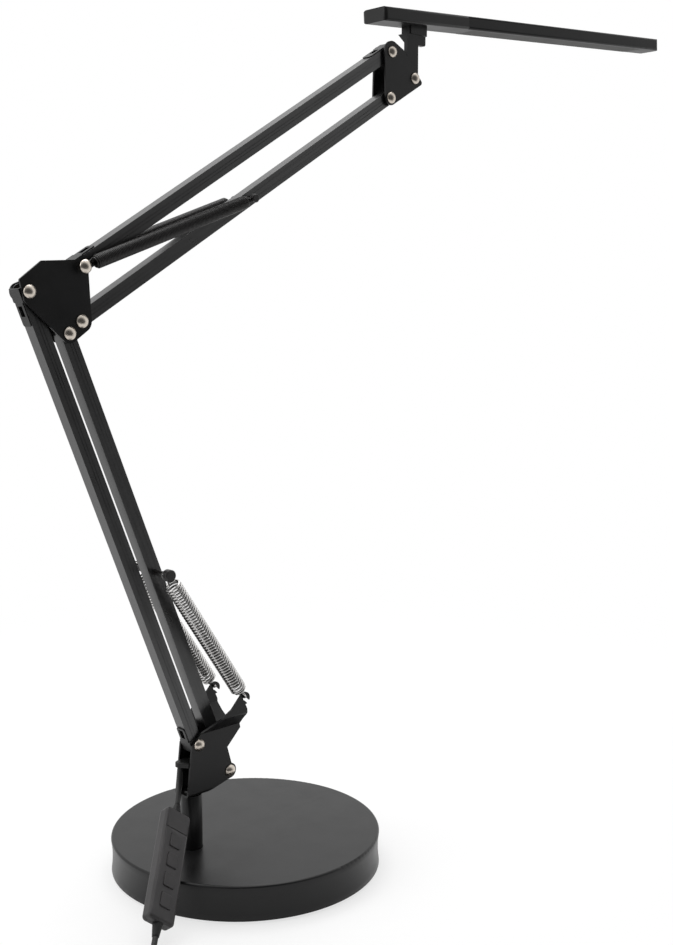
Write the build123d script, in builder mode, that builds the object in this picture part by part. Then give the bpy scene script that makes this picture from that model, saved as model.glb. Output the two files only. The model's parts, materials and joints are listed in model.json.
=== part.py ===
"""Spring-balanced swing-arm LED desk lamp on a round weighted base.

Millimetres, +Z up.  The origin is the centre of the base's underside, +X points to the lamp head,
and the two arms move in the plane Y = 0.  Pins are written as (x, z) in that plane.
"""
import os
from math import asin, atan2, cos, degrees, pi, radians, sin, sqrt, tan

from build123d import *

os.makedirs("parts", exist_ok=True)

# ---------------------------------------------------------------- driving dimensions
# weighted base
base_diameter = 200.0
base_height = 27.0
base_waist = 0.9  # how far the side is drawn in at mid height
cover_wall = 1.2
cover_rim_radius = 1.6
pad_thickness = 2.0
pad_margin = 7.0
base_plate_thickness = 1.2
weight_thickness = 11.0
weight_boss_diameter = 46.0
base_screw_circle = 120.0
base_screw_count = 3
base_screw_size = 4.0

# swivel post, standing behind the centre of the base
post_offset = 50.6
post_diameter = 15.6
post_height = 40.0
bush_wall = 2.0
ring_thickness = 1.2
ring_depth = 1.5
well_depth = 5.0  # recess under the weight's boss, round the post's retaining ring
well_margin = 6.0
rivet_diameter = 8.0  # the post's top, riveted over through the foot bracket
rivet_head_diameter = 10.8
rivet_head_height = 1.4

# sheet brackets and their pins
sheet = 1.5
pin_diameter = 5.0
pin_head_diameter = 8.8
pin_head_height = 3.0
foot_pin_height = 77.3  # rear foot pin above the cover
foot_pin_offset = 48.4  # rear foot pin behind the centre of the base
foot_link_length = 38.0
foot_link_angle = -43.2

# arms: two parallel bars each, between the same pins
bar_size = 10.0
bar_wall = 1.0
lower_arm_length = 343.0
lower_arm_angle = 111.3
elbow_step = (38.0, 15.9)  # from the rear bar's pin to the upper bar's pin
head_link_length = 34.4
head_link_angle = -91.9
upper_arm_length = 327.3
upper_arm_angle = 31.0
tilt_step = (25.6, -16.8)  # from the upper bar's head pin to the tilt pin

# clips that guide the wires in and out of the bars
clip_sheet = 0.8
clip_gap = 0.3  # between a clip and the bracket plate beside it
bracket_gap = bar_size + 2 * (clip_sheet + clip_gap)
clip_tab_width = 9.0
clip_window = (7.0, 4.6)
clip_window_place = 11.0
foot_clip_length = 16.0
elbow_clip_length = 21.0
upper_clip_length = 17.0
head_clip_length = 21.0

# springs
lower_spring_diameter = 12.0
lower_spring_wire = 1.2
lower_spring_turns = 16
lower_spring_side = 17.5  # distance of its axis from the plane of the arms
lower_stud_place = 167.7  # from the front bar's foot pin
lower_stud_diameter = 4.0
lower_stud_cap = (8.4, 5.0)  # diameter and length of the knob at each end
upper_spring_diameter = 8.8
upper_spring_wire = 1.0
upper_spring_turns = 14
upper_spring_side = 10.6
upper_stud_place = 164.0  # from the lower bar's elbow pin
upper_stud_diameter = 4.0
upper_stud_cap = (6.0, 1.6)
hook_place = (33.7, 29.7)  # the hook hole, from the rear foot pin
hook_hole_diameter = 3.4

# lamp head
head_length = 374.0
head_width = 25.2
head_thickness = 10.3
head_pitch = 4.2
head_behind_stem = 38.0
head_side_radius = 1.8
head_round_radius = 4.8
head_tip_radius = 6.0
head_end_radius = 3.0
head_rise = 40.4  # tilt pin to the head's underside, at the stem
end_block_length = 96.5
diffuser_start = 105.0
diffuser_length = 240.0
diffuser_width = 18.0
diffuser_thickness = 2.0
led_board_thickness = 1.2
led_gap = 1.6  # diffuser to board
led_size = 2.8
led_height = 0.7
led_count = 24
stem_width = 12.5
stem_thickness = 3.5
stem_side = 5.0  # near face of the stem, from the plane of the arms
stem_height = 26.1  # tilt pin to the underside of the block
block_length = 20.8
block_height = 7.7
block_width = 10.0
swivel_pin_diameter = 4.0
swivel_pin_depth = 4.0
swivel_pin_place = 7.9  # ahead of the tilt pin
swivel_plate_length = 20.0
swivel_plate_start = -3.1
head_screw_size = 2.6
head_screw_length = 9.0
head_screw_steps = (0.9, 13.6)  # ahead of the tilt pin

# cord with its controller, coil and plug
cord_diameter = 4.0
controller_length = 84.0
controller_width = 21.4
controller_thickness = 9.7
controller_wall = 1.4
controller_edge = 2.4
controller_foot = (-123.5, -59.3, 14.8)  # centre of its lower end
controller_run = (0.605, 0.571, 0.555)  # from the lower end to the upper end
controller_face = (0.2205, -0.790, 0.572)  # outward from the buttons
button_size = (10.0, 8.4)
button_rise = 0.9
button_first = 14.8
button_pitch = 14.9
button_count = 4
groove_place = 68.0
relief_length = 9.0
upper_relief_length = 6.0
relief_diameter = 7.0
link_runs = (17.3, 14.4)  # from the controller along its own direction, then straight up
lead_flat_runs = (27.0, 27.0)  # on the floor, before and after its bend
lead_bend = 14.0
coil_middle_radius = 22.0
coil_pitch = 4.6
coil_rise = 4.6
plug_level_run = 16.0
plug_drop_run = 34.0
plug_relief_length = 8.0
plug_length = 26.0
plug_width = 15.4
plug_thickness = 8.0
plug_shell_length = 18.6
plug_shell_width = 12.0
plug_shell_thickness = 4.5

# clearances
running = 0.05
washer_gap = 0.1
fit = 0.1
loose = 0.3


# ---------------------------------------------------------------- places that follow
def moved(point, distance, angle):
    """The (x, z) point a distance away from another, at an angle from +X towards +Z."""
    return (point[0] + distance * cos(radians(angle)), point[1] + distance * sin(radians(angle)))


def stepped(point, step):
    """The (x, z) point one step away from another."""
    return (point[0] + step[0], point[1] + step[1])


pin_e = (-foot_pin_offset, base_height + foot_pin_height)
pin_f = moved(pin_e, foot_link_length, foot_link_angle)
pin_a = moved(pin_e, lower_arm_length, lower_arm_angle)
pin_d = moved(pin_f, lower_arm_length, lower_arm_angle)
pin_b = stepped(pin_a, elbow_step)
pin_c = moved(pin_b, head_link_length, head_link_angle)
pin_g = moved(pin_b, upper_arm_length, upper_arm_angle)
pin_h = moved(pin_c, upper_arm_length, upper_arm_angle)
pin_i = stepped(pin_g, tilt_step)
hook = stepped(pin_e, hook_place)
lower_stud = moved(pin_f, lower_stud_place, lower_arm_angle)
upper_stud = moved(pin_c, upper_stud_place, upper_arm_angle)

pin_radius = pin_diameter / 2
pin_bore = pin_radius + running
bar_half = bar_size / 2
plate_inner = bracket_gap / 2
plate_outer = plate_inner + sheet
post_radius = post_diameter / 2
post_top = base_height + post_height


def save(part, name):
    """Label a finished sub-part and write it."""
    part.label = name
    export_step(part, f"parts/{name}.step")


def bar_plane(start, angle):
    """Plane of a bar seen from the side: local x runs along the bar, local y to its outer face."""
    run = (cos(radians(angle)), 0, sin(radians(angle)))
    return Plane(origin=(start[0], 0, start[1]), x_dir=run, z_dir=(0, -1, 0))


def across(point):
    """The axis through an (x, z) pin, parallel to Y."""
    return Axis((point[0], 0, point[1]), (0, 1, 0))


def pin_plane(point):
    """Plane through a pin's axis: local x runs along +Y, local y is the radius."""
    return Plane(origin=(point[0], 0, point[1]), x_dir=(0, 1, 0), z_dir=(1, 0, 0))


# ---------------------------------------------------------------- base
base_radius = base_diameter / 2
plate_top = pad_thickness + base_plate_thickness
cover_inside = base_height - cover_wall
weight_radius = base_radius - cover_wall - base_waist - loose
bush_radius = post_radius + bush_wall
well_radius = post_radius + well_margin
screw_places = PolarLocations(base_screw_circle / 2, base_screw_count, start_angle=90)

with BuildPart() as base_cover:
    with BuildSketch(Plane.XZ):
        with BuildLine():
            Line((0, base_height), (base_radius - cover_rim_radius, base_height))
            rim = (base_radius, base_height - cover_rim_radius)
            CenterArc((base_radius - cover_rim_radius, rim[1]), cover_rim_radius, 0, 90)
            waist = (base_radius - base_waist, (rim[1] + pad_thickness) / 2)
            ThreePointArc(rim, waist, (base_radius, pad_thickness))
            inner_foot = (base_radius - cover_wall, pad_thickness)
            Line((base_radius, pad_thickness), inner_foot)
            inner_waist = (waist[0] - cover_wall, waist[1])
            ThreePointArc(inner_foot, inner_waist, (inner_foot[0], cover_inside))
            Line((inner_foot[0], cover_inside), (0, cover_inside))
            Line((0, cover_inside), (0, base_height))
        make_face()
    revolve(axis=Axis.Z)
    with BuildSketch(Plane.XY.offset(cover_inside - 1)):
        with Locations((-post_offset, 0)):
            Circle(post_radius + loose)
    extrude(amount=cover_wall + 2, mode=Mode.SUBTRACT)
save(base_cover.part, "base_cover")

with BuildPart() as base_weight:
    with BuildSketch(Plane.XY.offset(plate_top)):
        Circle(weight_radius)
    extrude(amount=weight_thickness)
    chamfer(base_weight.edges().group_by(Axis.Z)[-1], 1.0)
    with BuildSketch(Plane.XY.offset(plate_top)):
        with Locations((-post_offset, 0)):
            Circle(weight_boss_diameter / 2)
    extrude(amount=cover_inside - plate_top)
    with BuildSketch(Plane.XY.offset(plate_top)):
        with Locations((-post_offset, 0)):
            Circle(bush_radius + fit / 2)
        with screw_places:
            Circle(base_screw_size / 2 + fit)
    extrude(amount=base_height, mode=Mode.SUBTRACT)
    with BuildSketch(Plane.XY.offset(plate_top)):
        with Locations((-post_offset, 0)):
            Circle(well_radius)
    extrude(amount=well_depth, mode=Mode.SUBTRACT)
save(base_weight.part, "base_weight")

with BuildPart() as base_plate:
    with BuildSketch(Plane.XY.offset(pad_thickness)):
        Circle(base_radius - cover_wall - loose)
        with screw_places:
            Circle(base_screw_size / 2 + fit, mode=Mode.SUBTRACT)
    extrude(amount=base_plate_thickness)
save(base_plate.part, "base_plate")

with BuildPart() as base_pad:
    with BuildSketch():
        Circle(base_radius - pad_margin)
        with screw_places:
            Circle(base_screw_size + fit, mode=Mode.SUBTRACT)
    extrude(amount=pad_thickness)
    chamfer(base_pad.edges().group_by(Axis.Z)[-1].sort_by(SortBy.LENGTH)[-1], 0.3)
save(base_pad.part, "base_pad")

with BuildPart() as base_screws:
    screw_head = pad_thickness - 0.4
    with screw_places:
        with Locations((0, 0, pad_thickness - screw_head / 2)):
            Cylinder(base_screw_size * 0.95, screw_head)
        with Locations((0, 0, pad_thickness + weight_thickness / 2 - 1)):
            Cylinder(base_screw_size / 2, weight_thickness - 2)
save(base_screws.part, "base_screws")

with BuildPart() as post_bush:
    with BuildSketch(Plane.XY.offset(plate_top + well_depth)):
        with Locations((-post_offset, 0)):
            Circle(bush_radius)
            Circle(post_radius + running, mode=Mode.SUBTRACT)
    extrude(amount=cover_inside - plate_top - well_depth)
save(post_bush.part, "post_bush")

# ---------------------------------------------------------------- swivel post and foot bracket
rivet_radius = rivet_diameter / 2
ring_top = plate_top + well_depth - washer_gap
ring_groove_radius = post_radius - ring_depth / 2
web_front = -post_offset + post_radius + 0.6
web_rear = pin_e[0] - 10.8

with BuildPart() as swivel_post:
    with BuildSketch(Plane.XY.offset(plate_top + 1.0)):
        with Locations((-post_offset, 0)):
            Circle(post_radius)
    extrude(amount=post_top - plate_top - 1.0)
    chamfer(swivel_post.edges().group_by(Axis.Z)[0], 0.6)
    with BuildSketch(Plane.XY.offset(ring_top - ring_thickness)):
        with Locations((-post_offset, 0)):
            Circle(post_radius + 1)
            Circle(ring_groove_radius, mode=Mode.SUBTRACT)
    extrude(amount=ring_thickness, mode=Mode.SUBTRACT)
    with BuildSketch(Plane.XY.offset(post_top)):
        with Locations((-post_offset, 0)):
            Circle(rivet_radius)
    extrude(amount=sheet)
    with BuildSketch(Plane.XY.offset(post_top + sheet)):
        with Locations((-post_offset, 0)):
            Circle(rivet_head_diameter / 2)
    extrude(amount=rivet_head_height, taper=20)
save(swivel_post.part, "swivel_post")

with BuildPart() as post_ring:
    with BuildSketch(Plane.XY.offset(ring_top - ring_thickness + running)):
        with Locations((-post_offset, 0)):
            Circle(post_radius + ring_depth)
            Circle(ring_groove_radius + running, mode=Mode.SUBTRACT)
        with Locations((-post_offset + post_radius, 0)):
            Rectangle(post_diameter, post_radius * 0.7, mode=Mode.SUBTRACT)
    extrude(amount=ring_thickness - 2 * running)
save(post_ring.part, "post_ring")

ear_middle = lower_spring_side
fold_start = pin_e[1] + 8.0
fold_end = pin_e[1] + 18.5
ear_top = hook[1] + 12
foot_lobe = 5.6
hook_lobe = 4.6

with BuildPart() as foot_bracket:
    # the folded section: a U whose sides are set outwards again at the top, for the spring hooks
    with BuildSketch(Plane.YZ):
        with BuildLine():
            middle = plate_inner + sheet / 2
            web_middle = post_top + sheet / 2
            FilletPolyline(
                (-ear_middle, ear_top),
                (-ear_middle, fold_end),
                (-middle, fold_start),
                (-middle, web_middle),
                (middle, web_middle),
                (middle, fold_start),
                (ear_middle, fold_end),
                (ear_middle, ear_top),
                radius=1.6,
            )
        trace(line_width=sheet)
    extrude(amount=base_radius, both=True)
    # the outline of its sides, with the pin holes and the open hooks
    with BuildSketch(Plane.XZ):
        with BuildLine():
            waist_point = stepped(pin_f, (-2.2, 18.4))
            Polyline(
                (web_rear, post_top),
                stepped(pin_e, (-6.2, 0.4)),
                stepped(pin_e, (2.2, 8.3)),
                stepped(pin_e, (6.4, 11.7)),
                stepped(hook, (-21.1, -10.9)),
                stepped(hook, (-12.1, -6.0)),
                stepped(hook, (-3.4, 3.1)),
                stepped(hook, (0, -3.6)),
                stepped(hook, (2.2, -8.3)),
                stepped(hook, (2.3, -16.0)),
                stepped(hook, (4.0, -25.2)),
                waist_point,
                stepped(pin_f, (1.5, 5.4)),
                stepped(pin_f, (0, -foot_lobe)),
                (web_front, post_top),
                (web_rear, post_top),
            )
        make_face()
        with Locations(pin_f):
            Circle(foot_lobe)
        with Locations(hook):
            Circle(hook_lobe)
        with Locations(hook):
            Circle(hook_hole_diameter / 2, mode=Mode.SUBTRACT)
        with Locations(pin_e, pin_f):
            Circle(pin_radius + fit / 2, mode=Mode.SUBTRACT)
        with Locations(Location((hook[0] + 3.2, hook[1] - 3.2), -45)):
            Rectangle(9, hook_hole_diameter * 0.8, mode=Mode.SUBTRACT)
    extrude(amount=2 * ear_middle, both=True, mode=Mode.INTERSECT)
    with BuildSketch(Plane.XY.offset(post_top - 1)):
        with Locations((-post_offset, 0)):
            Circle(rivet_radius + fit / 2)
        with Locations((web_front + 20, 0)):
            Rectangle(40, bracket_gap)
    extrude(amount=sheet + 3, mode=Mode.SUBTRACT)
save(foot_bracket.part, "foot_bracket")


# ---------------------------------------------------------------- pins, washers and studs
def domed_pins(name, places, neck):
    """Pins across a bracket, each with a domed head outside both plates.

    The neck is the distance from the plane of the arms to the underside of the head.
    """
    head_radius = pin_head_diameter / 2
    rim = 0.6
    crown = pin_head_height - rim
    dome_radius = (head_radius**2 + crown**2) / (2 * crown)
    with BuildPart() as pins:
        for place in places:
            with BuildSketch(pin_plane(place)):
                with BuildLine():
                    apex = neck + pin_head_height
                    dome_angle = degrees(asin(head_radius / dome_radius))
                    CenterArc((apex - dome_radius, 0), dome_radius, 0, dome_angle)
                    Polyline(
                        (neck + rim, head_radius),
                        (neck, head_radius),
                        (neck, pin_radius),
                        (0, pin_radius),
                        (0, 0),
                        (apex, 0),
                    )
                make_face()
            revolve(axis=across(place))
        mirror(about=Plane.XZ)
    save(pins.part, name)


def pivot_washers(name, places):
    """Nylon washers between a bare bar and the bracket plates."""
    with BuildPart() as washers:
        for place in places:
            with BuildSketch(bar_plane(place, 0).offset(bar_half + washer_gap)):
                Circle(bar_half - 0.4)
                Circle(pin_bore, mode=Mode.SUBTRACT)
            extrude(amount=plate_inner - bar_half - 2 * washer_gap)
        mirror(about=Plane.XZ)
    save(washers.part, name)


def spring_stud(name, place, diameter, reach, wire, cap):
    """A cross pin through a bar, with a cap outside the spring loop at each end."""
    radius = diameter / 2
    cap_start = reach + wire / 2 + loose
    with BuildPart() as stud:
        with BuildSketch(pin_plane(place)):
            with BuildLine():
                Polyline(
                    (0, 0),
                    (0, radius),
                    (cap_start, radius),
                    (cap_start, cap[0] / 2),
                    (cap_start + cap[1] - 0.6, cap[0] / 2),
                    (cap_start + cap[1], cap[0] / 2 - 0.6),
                    (cap_start + cap[1], 0),
                    (0, 0),
                )
            make_face()
        revolve(axis=across(place))
        mirror(about=Plane.XZ)
    save(stud.part, name)


pivot_neck = upper_spring_side + upper_spring_wire / 2 + loose
domed_pins("foot_pins", [pin_e, pin_f], plate_outer)
domed_pins("elbow_pins", [pin_a, pin_c, pin_d], plate_outer)
domed_pins("spring_pivot_pin", [pin_b], pivot_neck)
domed_pins("head_bracket_pins", [pin_g, pin_h], plate_outer)
domed_pins("tilt_pin", [pin_i], plate_outer)
pivot_washers("foot_washers", [pin_f])
pivot_washers("elbow_washers", [pin_c, pin_d])
pivot_washers("head_washers", [pin_h])
spring_stud(
    "lower_spring_stud", lower_stud, lower_stud_diameter, lower_spring_side, lower_spring_wire,
    lower_stud_cap,
)
spring_stud(
    "upper_spring_stud", upper_stud, upper_stud_diameter, upper_spring_side, upper_spring_wire,
    upper_stud_cap,
)


# ---------------------------------------------------------------- bars and their wire clips
def square_bar(name, start, angle, length, wire_slots=(), stud_place=None, stud_radius=0.0):
    """A square tube with round ends, bored for its two pins.

    Wire slots are places along the bar where its outer wall is open under a clip's window.
    """
    with BuildPart() as bar:
        with BuildSketch(bar_plane(start, angle)):
            with Locations((length / 2, 0)):
                SlotCenterToCenter(length, bar_size)
            with Locations((0, 0), (length, 0)):
                Circle(pin_bore, mode=Mode.SUBTRACT)
            if stud_place:
                with Locations((stud_place, 0)):
                    Circle(stud_radius + running, mode=Mode.SUBTRACT)
        extrude(amount=bar_half, both=True)
        with BuildSketch(bar_plane(start, angle)):
            with Locations((length / 2, 0)):
                Rectangle(length + 2 * bar_size, bar_size - 2 * bar_wall)
        extrude(amount=bar_half - bar_wall, both=True, mode=Mode.SUBTRACT)
        if wire_slots:
            with BuildSketch(bar_plane(start, angle)):
                with Locations([(slot, bar_half) for slot in wire_slots]):
                    Rectangle(clip_window[0], 3 * bar_wall)
            extrude(amount=clip_window[1] / 2, both=True, mode=Mode.SUBTRACT)
    save(bar.part, name)


def wire_clip(name, start, angle, side, length):
    """A U of thin sheet over a bar's end, held by its pin, with a slotted tab on the outer face.

    Side is +1 where the outer face lies on the plane's local +y, and -1 where it lies on -y.
    """
    grip = bar_half + running
    outside = grip + clip_sheet
    plane = bar_plane(start, angle)
    outward = plane.y_dir * side
    tab_plane = Plane(origin=plane.origin + outward * grip, x_dir=plane.x_dir, z_dir=outward)
    with BuildPart() as clip:
        with BuildSketch(plane):
            with Locations((0, 0)):
                Circle(bar_half - 0.2)
            with Locations((-3.4, side * (outside - 0.4)), (5.0, side * (outside - 0.4))):
                Circle(0.4)
            make_hull()
        extrude(amount=outside, both=True)
        with BuildSketch(tab_plane):
            with Locations((length / 2 - 1, 0)):
                RectangleRounded(length + 2, clip_tab_width, 1.6)
        extrude(amount=clip_sheet)
        with BuildSketch(plane):
            Rectangle(4 * length, 2 * grip)
        extrude(amount=grip, both=True, mode=Mode.SUBTRACT)
        with BuildSketch(tab_plane):
            with Locations((clip_window_place, 0)):
                Rectangle(*clip_window)
        extrude(amount=2 * clip_sheet, mode=Mode.SUBTRACT)
        with BuildSketch(plane):
            Circle(pin_bore)
        extrude(amount=2 * outside, both=True, mode=Mode.SUBTRACT)
    save(clip.part, name)


lower_slots = (clip_window_place, lower_arm_length - clip_window_place)
upper_slots = (clip_window_place, upper_arm_length - clip_window_place)
square_bar("rear_bar", pin_e, lower_arm_angle, lower_arm_length, lower_slots)
square_bar(
    "front_bar", pin_f, lower_arm_angle, lower_arm_length,
    stud_place=lower_stud_place, stud_radius=lower_stud_diameter / 2,
)
square_bar("upper_bar", pin_b, upper_arm_angle, upper_arm_length, upper_slots)
square_bar(
    "lower_bar", pin_c, upper_arm_angle, upper_arm_length,
    stud_place=upper_stud_place, stud_radius=upper_stud_diameter / 2,
)
wire_clip("rear_bar_foot_clip", pin_e, lower_arm_angle, 1, foot_clip_length)
wire_clip("rear_bar_elbow_clip", pin_a, lower_arm_angle + 180, -1, elbow_clip_length)
wire_clip("upper_bar_elbow_clip", pin_b, upper_arm_angle, 1, upper_clip_length)
wire_clip("upper_bar_head_clip", pin_g, upper_arm_angle + 180, -1, head_clip_length)


# ---------------------------------------------------------------- bracket plates
def bracket_plate(name, lobes, holes, side):
    """One flat plate: the hull of its lobes, each an (x, z) centre with a radius."""
    facing = bar_plane((0, 0), 0).offset(plate_inner if side < 0 else -plate_outer)
    with BuildPart() as plate:
        with BuildSketch(facing):
            for centre, radius in lobes:
                with Locations(centre):
                    Circle(radius)
            make_hull()
            with Locations(holes):
                Circle(pin_radius + fit / 2, mode=Mode.SUBTRACT)
        extrude(amount=sheet)
    save(plate.part, name)


elbow_pin_lobes = [(pin_a, 5.6), (pin_b, 4.4), (pin_c, 7.2), (pin_d, 6.3)]
elbow_corners = [
    (stepped(pin_a, (-2.6, -5.4)), 1.2),
    (stepped(pin_a, (-5.4, 6.8)), 1.2),
    (stepped(pin_a, (9.4, 17.8)), 1.2),
]
head_pin_lobes = [(pin_i, pin_head_diameter / 2), (pin_h, 5.6)]
head_corners = [(stepped(pin_g, (11.6, 1.6)), 1.6), (stepped(pin_i, (5.9, -2.7)), 2.0)]
elbow_holes = [pin_a, pin_b, pin_c, pin_d]
head_holes = [pin_g, pin_h, pin_i]
bracket_plate("elbow_plate_near", elbow_pin_lobes[1:] + elbow_corners, elbow_holes, -1)
bracket_plate("elbow_plate_far", elbow_pin_lobes, elbow_holes, 1)
bracket_plate("head_plate_near", [(pin_g, 8.0)] + head_pin_lobes + head_corners, head_holes, -1)
bracket_plate("head_plate_far", [(pin_g, 5.6)] + head_pin_lobes + head_corners, head_holes, 1)


# ---------------------------------------------------------------- springs
def biarc(start, start_way, end, end_way):
    """The two tangent arcs that join two places with their directions; returns their joint."""
    span = end - start
    both = start_way + end_way
    a = 2 * (start_way.dot(end_way) - 1)
    b = -2 * span.dot(both)
    c = span.dot(span)
    if abs(a) < 1e-9:
        reach = -c / b
    else:
        reach = (-b - sqrt(b * b - 4 * a * c)) / (2 * a)
    return (start + end + (start_way - end_way) * reach) * 0.5


def tube(stations, side_count, width, straight):
    """Sweep one unbroken tube through stations, each a place and a direction.

    It starts and ends with a straight run, and returns the part and its centreline's edges.
    """
    first, first_way = stations[0]
    last, last_way = stations[-1]
    with BuildPart() as swept:
        with BuildLine() as centreline:
            Line(first - first_way * straight, first)
            for (start, start_way), (end, end_way) in zip(stations, stations[1:]):
                if (end - start).cross(start_way).length + start_way.cross(end_way).length < 1e-6:
                    Line(start, end)
                    continue
                joint = biarc(start, start_way, end, end_way)
                arc = TangentArc(start, joint, tangent=start_way)
                TangentArc(joint, end, tangent=arc % 1)
            Line(last, last + last_way * straight)
        with BuildSketch(Plane(origin=first - first_way * straight, z_dir=first_way)):
            RegularPolygon(width / 2, side_count, major_radius=False)
        sweep(path=centreline.wires()[0], clean=False)
    return swept.part, centreline.wires()[0].order_edges()


def least_gap(edges, width):
    """The least gap between turns of one tube, measured on points of its centreline."""
    points = []
    last = edges[0].position_at(0)
    travelled = 0.0
    for edge in edges:
        backward = (edge.position_at(1) - last).length < (edge.position_at(0) - last).length
        count = max(2, int(2 * edge.length / width))
        for step in range(count):
            share = step / count
            place = edge.position_at(1 - share if backward else share)
            points.append((place.X, place.Y, place.Z, travelled + share * edge.length))
        last = edge.position_at(0 if backward else 1)
        travelled += edge.length
    least = 16 * width**2
    for index, (x, y, z, along) in enumerate(points):
        for other_x, other_y, other_z, other_along in points[index + 1 :]:
            if other_along - along > 4 * width and abs(other_z - z) < 2 * width:
                apart = (other_x - x) ** 2 + (other_y - y) ** 2 + (other_z - z) ** 2
                least = min(least, apart)
    return sqrt(least) - width


def spring(name, start, end, offset, diameter, wire, turns, start_loop, end_loop):
    """A tension spring from one fixing to the other, at a distance from the plane of the arms.

    Each end has a loop: the plane it turns in ("flat" round a pin across the arms, "upright"
    through a hole in a plate), its radius, and how far its middle lies in from the fixing.
    """
    side = Vector(0, 1 if offset > 0 else -1, 0)
    begin = Vector(start[0], offset, start[1])
    run = Vector(end[0], offset, end[1]) - begin
    length = run.length
    along = run.normalized()
    up = side.cross(along)
    radius = (diameter - wire) / 2
    lead = diameter
    pitch = (length - 2 * lead) / turns

    def coil_station(turn):
        angle = 2 * pi * turn
        out = up * cos(angle) + side * sin(angle)
        round_way = side * cos(angle) - up * sin(angle)
        place = begin + along * (lead + pitch * turn) + out * radius
        return place, (round_way * (2 * pi * radius) + along * pitch).normalized()

    def loop_stations(loop, fixing, inward):
        """Stations of an end loop, from its free end round to where it leaves for the coil."""
        turning, loop_radius, shift = loop
        middle = fixing + inward * shift
        across_way = up if turning == "flat" else side
        stations = []
        for degree in (-60, 30, 120):
            angle = radians(degree)
            out = across_way * sin(angle) - inward * cos(angle)
            way = across_way * cos(angle) + inward * sin(angle)
            stations.append((middle + out * loop_radius, way))
        return stations

    first = loop_stations(start_loop, begin, along)
    last = loop_stations(end_loop, begin + run, along * -1)
    body = [coil_station(0.5 * half) for half in range(2 * turns + 1)]
    ending = [(place, way * -1) for place, way in reversed(last)]
    part, edges = tube(first + body + ending, 4, wire, wire)
    save(part, name)
    return least_gap(edges, wire)


def loop_round(pin_size, wire):
    """A loop round a pin across the arms."""
    return ("flat", pin_size / 2 + loose + wire / 2, 0)


hook_loop_radius = 3.0
hook_seat = hook_hole_diameter / 2 - loose - lower_spring_wire / 2
hook_loop = ("upright", hook_loop_radius, hook_loop_radius + hook_seat)
for side_name, side in (("near", -1), ("far", 1)):
    gap = spring(
        f"lower_spring_{side_name}", hook, lower_stud, side * lower_spring_side,
        lower_spring_diameter, lower_spring_wire, lower_spring_turns,
        hook_loop, loop_round(lower_stud_diameter, lower_spring_wire),
    )
    print(f"lower_spring_{side_name}: least gap to itself {gap:.2f} mm")
    gap = spring(
        f"upper_spring_{side_name}", pin_b, upper_stud, side * upper_spring_side,
        upper_spring_diameter, upper_spring_wire, upper_spring_turns,
        loop_round(pin_diameter, upper_spring_wire), loop_round(upper_stud_diameter, upper_spring_wire),
    )
    print(f"upper_spring_{side_name}: least gap to itself {gap:.2f} mm")

# ---------------------------------------------------------------- stem and swivel under the head
stem_top = pin_i[1] + stem_height
block_top = stem_top + block_height
plate_bottom = block_top + loose
head_run = (cos(radians(head_pitch)), 0, sin(radians(head_pitch)))
head_up = (-sin(radians(head_pitch)), 0, cos(radians(head_pitch)))
head_foot = stepped(
    pin_i,
    (-head_behind_stem * head_run[0], head_rise - head_behind_stem * head_run[2]),
)
head_plane = Plane(origin=(head_foot[0], 0, head_foot[1]), x_dir=head_run, z_dir=head_up)
stem_face = -stem_side
swivel_axis = (pin_i[0] + swivel_pin_place, stem_face + stem_thickness)
swivel_pin_low = block_top - swivel_pin_depth
head_screw_places = [(pin_i[0] + place, 0) for place in head_screw_steps]


def under_head(x):
    """Height of the head's underside above a place along X."""
    return head_foot[1] + (x - head_foot[0]) * tan(radians(head_pitch))


with BuildPart() as head_stem:
    with BuildSketch(bar_plane(pin_i, 0)):
        Circle(stem_width / 2)
    extrude(amount=plate_inner - loose, both=True)
    with BuildSketch(bar_plane(pin_i, 0).offset(stem_side)):
        with Locations((0, (stem_height + 1) / 2)):
            Rectangle(stem_width, stem_height + 1)
    extrude(amount=-stem_thickness)
    with BuildSketch(Plane.YZ.offset(pin_i[0] - stem_width / 2)):
        with BuildLine():
            Polyline(
                (stem_face, stem_top),
                (stem_face + stem_thickness, stem_top),
                (stem_face + stem_thickness, stem_top + 1),
                (block_width / 2, block_top),
                (stem_face, block_top),
                (stem_face, stem_top),
            )
        make_face()
    extrude(amount=block_length)
    lower_front = head_stem.edges().filter_by(Axis.Y).group_by(Axis.X)[-1].sort_by(Axis.Z)[0]
    fillet(lower_front, 1.8)
    with BuildSketch(bar_plane(pin_i, 0)):
        Circle(pin_bore)
    extrude(amount=bracket_gap, both=True, mode=Mode.SUBTRACT)
    with BuildSketch(Plane.XY.offset(swivel_pin_low - running)):
        with Locations(swivel_axis):
            Circle(swivel_pin_diameter / 2 + running)
    extrude(amount=block_height, mode=Mode.SUBTRACT)
save(head_stem.part, "head_stem")

with BuildPart() as swivel_plate:
    with BuildSketch(Plane.XZ):
        rear = pin_i[0] + swivel_plate_start
        front = rear + swivel_plate_length
        with BuildLine():
            Polyline(
                (rear, plate_bottom),
                (front, plate_bottom),
                (front, under_head(front)),
                (rear, under_head(rear)),
                (rear, plate_bottom),
            )
        make_face()
    extrude(amount=block_width / 2, both=True)
    fillet(swivel_plate.edges().filter_by(Axis.Z), 1.2)
    with BuildSketch(Plane.XY.offset(plate_bottom - 1)):
        with Locations(swivel_axis):
            Circle(swivel_pin_diameter / 2 + running)
        with Locations(head_screw_places):
            Circle(head_screw_size / 2 + fit)
    extrude(amount=block_height + 5, mode=Mode.SUBTRACT)
    with BuildSketch(Plane.XY.offset(plate_bottom)):
        with Locations(head_screw_places):
            Circle(head_screw_size + fit)
    extrude(amount=head_screw_size / 2 + fit, taper=45, mode=Mode.SUBTRACT)
save(swivel_plate.part, "swivel_plate")

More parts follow.
